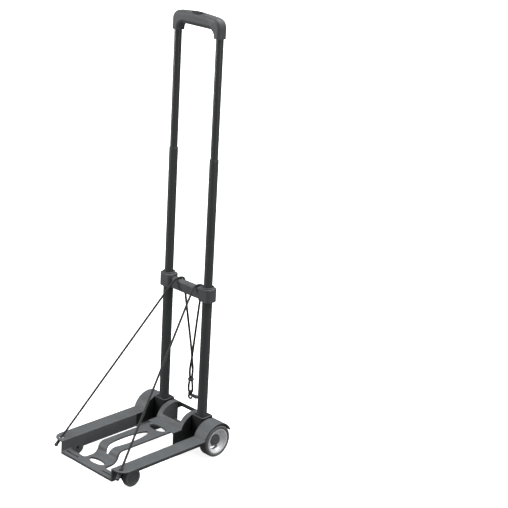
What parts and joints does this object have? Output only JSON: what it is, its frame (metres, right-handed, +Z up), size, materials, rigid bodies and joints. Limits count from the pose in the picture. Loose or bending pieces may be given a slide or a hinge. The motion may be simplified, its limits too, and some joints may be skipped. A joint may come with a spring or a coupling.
{
  "type": "hand truck",
  "caption": "Folding luggage hand truck: a pierced plastic deck on wheels, a telescoping twin-tube mast with a U handle and release button, and an elastic strap.",
  "frame": {"origin": "on the floor, below the middle of the object's footprint", "axes": "+Z up along the mast, -Y towards the front edge of the deck, X across the width"},
  "size_m": [0.23, 0.3157, 0.9504],
  "materials": {
    "grey_plastic": "fine moulded grain",
    "dark_plastic": "satin moulded",
    "glide_plastic": "natural acetal",
    "coated_tube": "satin powder coat on steel",
    "steel": "zinc plated",
    "tyre": "solid rubber",
    "white_rim": "light silver white",
    "elastic": "braided elastic cord"
  },
  "bodies": {
    "deck": {"deck_housing": "grey_plastic", "deck_web": "grey_plastic", "deck_front_bar": "grey_plastic", "deck_rail_left": "grey_plastic", "deck_rail_right": "grey_plastic", "rear_axle": "steel", "axle_nuts": "steel", "front_wheel_pins": "coated_tube", "cord_end_left": "dark_plastic", "cord_end_right": "dark_plastic"},
    "mast": {"hinge_block_left": "dark_plastic", "hinge_block_right": "dark_plastic", "lower_tube_left": "coated_tube", "lower_tube_right": "coated_tube", "collar_bush_left": "grey_plastic", "collar_bush_right": "grey_plastic", "block_pins": "steel", "crossbar": "grey_plastic", "elastic_cord": "elastic", "cord_cinch": "dark_plastic", "cord_hook": "dark_plastic"},
    "middle_stage": {"middle_tube_left": "coated_tube", "middle_tube_right": "coated_tube", "middle_cap_left": "dark_plastic", "middle_cap_right": "dark_plastic", "middle_glide_left": "glide_plastic", "middle_glide_right": "glide_plastic", "middle_lock_pins": "steel"},
    "upper_stage": {"upper_tube_left": "coated_tube", "upper_tube_right": "coated_tube", "upper_glide_left": "glide_plastic", "upper_glide_right": "glide_plastic", "upper_lock_pins": "steel", "handle": "grey_plastic", "handle_cover": "grey_plastic", "handle_screws": "steel", "button_spring": "steel"},
    "release": {"release_button": "dark_plastic", "button_yoke": "glide_plastic", "push_rod_left": "steel", "push_rod_right": "steel"},
    "rear_wheel_left": {"rear_tyre_left": "tyre", "rear_rim_left": "white_rim", "hub_cap_left": "dark_plastic"},
    "front_wheel_left": {"front_tyre_left": "tyre", "front_hub_left": "dark_plastic", "front_plate_left": "dark_plastic"},
    "rear_wheel_right": {"rear_tyre_right": "tyre", "rear_rim_right": "white_rim", "hub_cap_right": "dark_plastic"},
    "front_wheel_right": {"front_tyre_right": "tyre", "front_hub_right": "dark_plastic", "front_plate_right": "dark_plastic"}
  },
  "joints": [
    {"name": "mast_fold", "type": "hinge", "parent": "deck", "child": "mast", "pos_m": [0, 0.1175, 0.036], "axis": [1, 0, 0], "range_deg": [0, 90], "deforming": ["elastic_cord"]},
    {"name": "middle_slide", "type": "slide", "parent": "mast", "child": "middle_stage", "axis": [0, 0, 1], "range_m": [-0.272, 0]},
    {"name": "upper_slide", "type": "slide", "parent": "middle_stage", "child": "upper_stage", "axis": [0, 0, 1], "range_m": [-0.247, 0]},
    {"name": "button_press", "type": "slide", "parent": "upper_stage", "child": "release", "axis": [0, 0, -1], "range_m": [0, 0.003], "stiffness_N_per_m": 900, "springref_m": -0.003, "deforming": ["button_spring"]},
    {"name": "rear_wheel_spin_left", "type": "hinge", "parent": "deck", "child": "rear_wheel_left", "pos_m": [-0.103, 0.1175, 0.036], "axis": [1, 0, 0], "continuous": true},
    {"name": "front_wheel_spin_left", "type": "hinge", "parent": "deck", "child": "front_wheel_left", "pos_m": [-0.094, -0.1125, 0.02], "axis": [1, 0, 0], "continuous": true},
    {"name": "rear_wheel_spin_right", "type": "hinge", "parent": "deck", "child": "rear_wheel_right", "pos_m": [0.103, 0.1175, 0.036], "axis": [1, 0, 0], "continuous": true},
    {"name": "front_wheel_spin_right", "type": "hinge", "parent": "deck", "child": "front_wheel_right", "pos_m": [0.094, -0.1125, 0.02], "axis": [1, 0, 0], "continuous": true}
  ]
}
